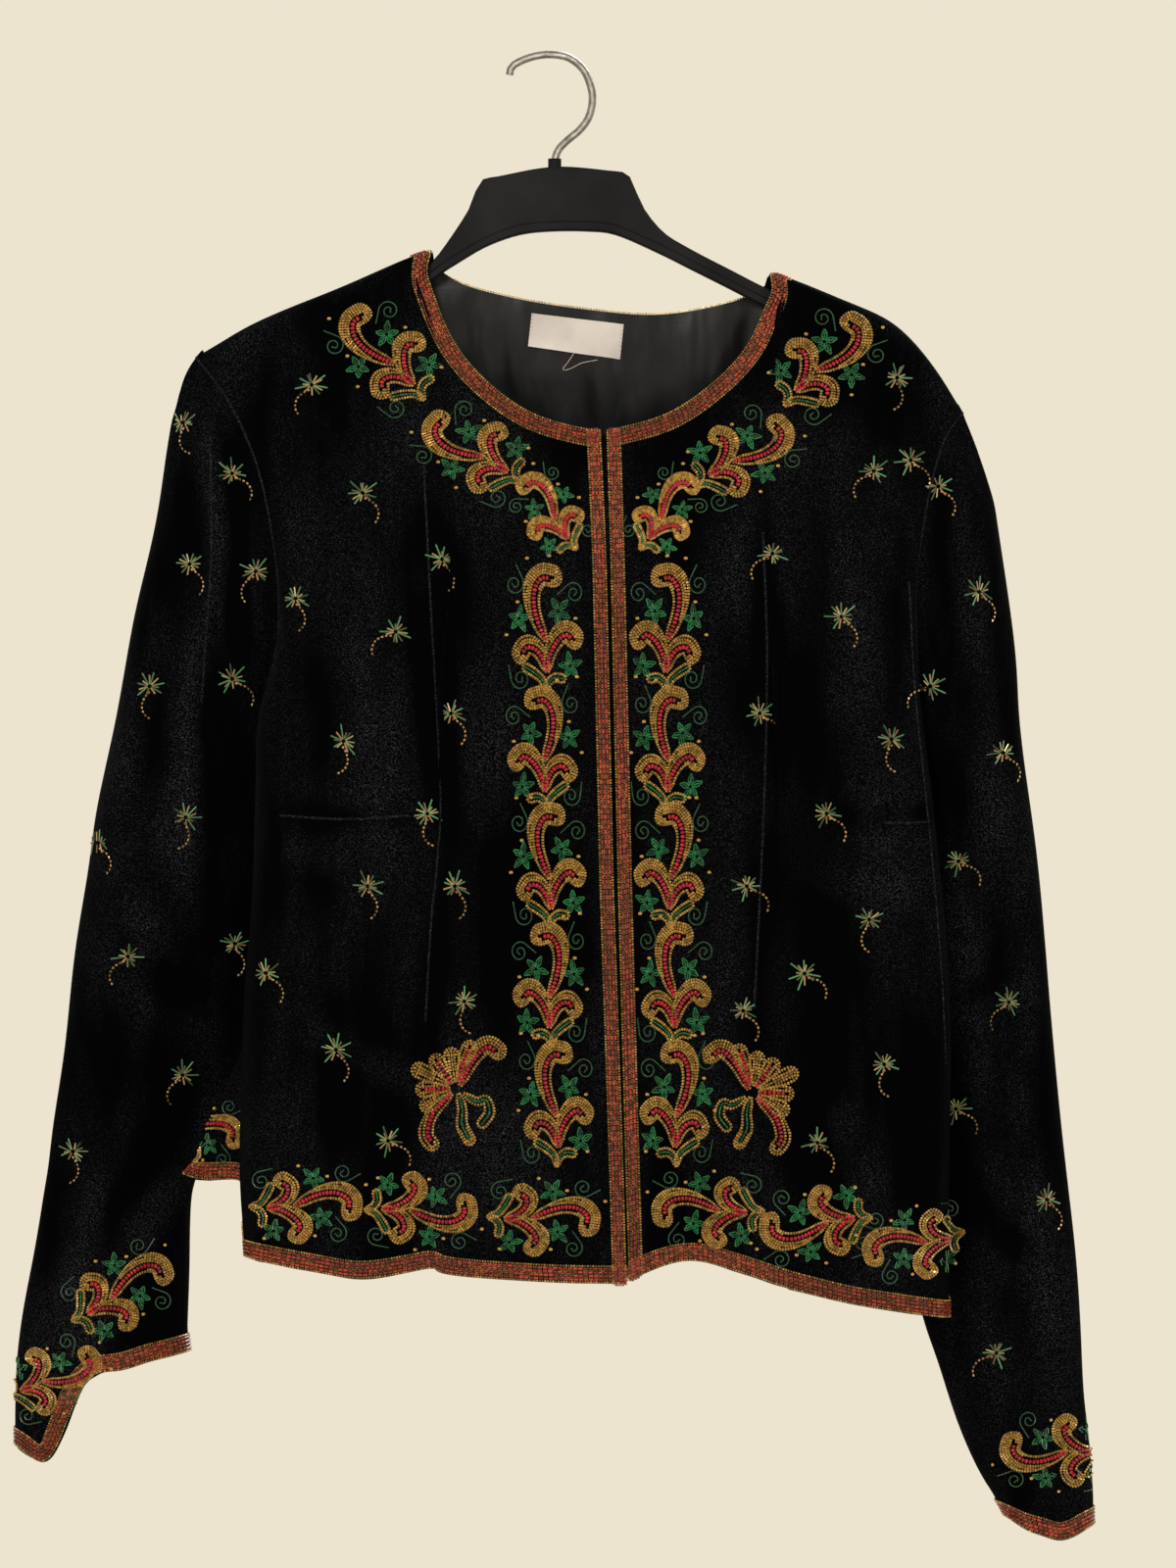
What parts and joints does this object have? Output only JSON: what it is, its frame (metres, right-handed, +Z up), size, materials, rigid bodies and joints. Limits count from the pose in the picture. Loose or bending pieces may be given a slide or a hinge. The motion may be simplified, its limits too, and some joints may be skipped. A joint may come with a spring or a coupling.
{
  "type": "evening jacket on a hanger",
  "caption": "Collarless open-front evening jacket of black velvet with beaded edge bands, long sleeves and a hollow body, hanging on a moulded hanger with a wire hook.",
  "frame": {"origin": "inner top of the hook, where a rod or a nail carries it", "axes": "+Z up, front of the jacket toward -Y, +X to the right of someone who faces the front"},
  "size_m": [0.5932, 0.1251, 0.8097],
  "materials": {
    "velvet": "matte pile",
    "bead_trim": "glossy beads",
    "lining": "satin",
    "label": "satin",
    "hanger_plastic": "moulded matte",
    "hook_steel": "satin"
  },
  "bodies": {
    "root": {"front_right": "velvet", "front_left": "velvet", "back": "velvet", "sleeve_right": "velvet", "sleeve_left": "velvet", "front_trim_right": "bead_trim", "front_trim_left": "bead_trim", "back_neck_trim": "bead_trim", "back_hem_trim": "bead_trim", "cuff_trim_right": "bead_trim", "cuff_trim_left": "bead_trim", "lining_back": "lining", "neck_label": "label", "hanger_body": "hanger_plastic", "hanger_hook": "hook_steel"}
  },
  "joints": []
}
